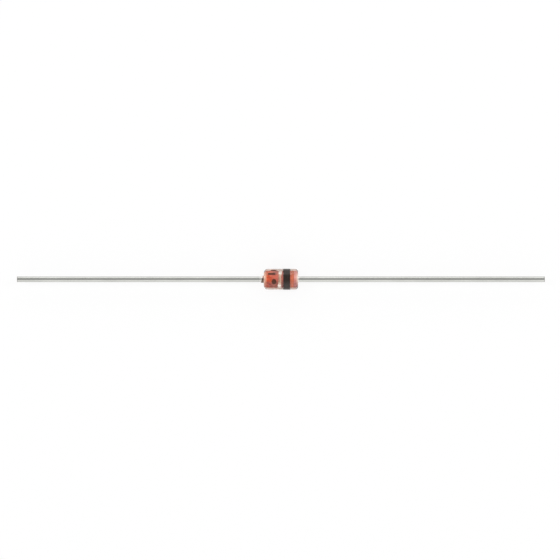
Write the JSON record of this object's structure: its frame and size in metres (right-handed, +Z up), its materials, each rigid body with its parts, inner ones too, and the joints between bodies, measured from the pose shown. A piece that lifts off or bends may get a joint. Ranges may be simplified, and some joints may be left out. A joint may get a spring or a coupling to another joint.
{
  "type": "zener diode",
  "caption": "Axial glass zener diode with straight tinned wire leads, sealed copper slugs, a chip between them and a black cathode band.",
  "frame": {"origin": "middle of the glass sleeve, on the diode's axis", "axes": "+X along the axis towards the cathode, +Z up when the diode lies flat"},
  "size_m": [0.0614, 0.0024, 0.0024],
  "materials": {
    "clear_glass": "gloss",
    "copper_oxide": "satin",
    "silicon": "polished",
    "silver": "satin",
    "solder": "satin",
    "tinned_wire": "satin",
    "black_ink": "satin"
  },
  "bodies": {
    "root": {"glass_sleeve": "clear_glass", "anode_slug": "copper_oxide", "cathode_slug": "copper_oxide", "silicon_die": "silicon", "contact_bump": "silver", "die_solder": "solder", "anode_lead": "tinned_wire", "cathode_lead": "tinned_wire", "cathode_band": "black_ink"}
  },
  "joints": []
}
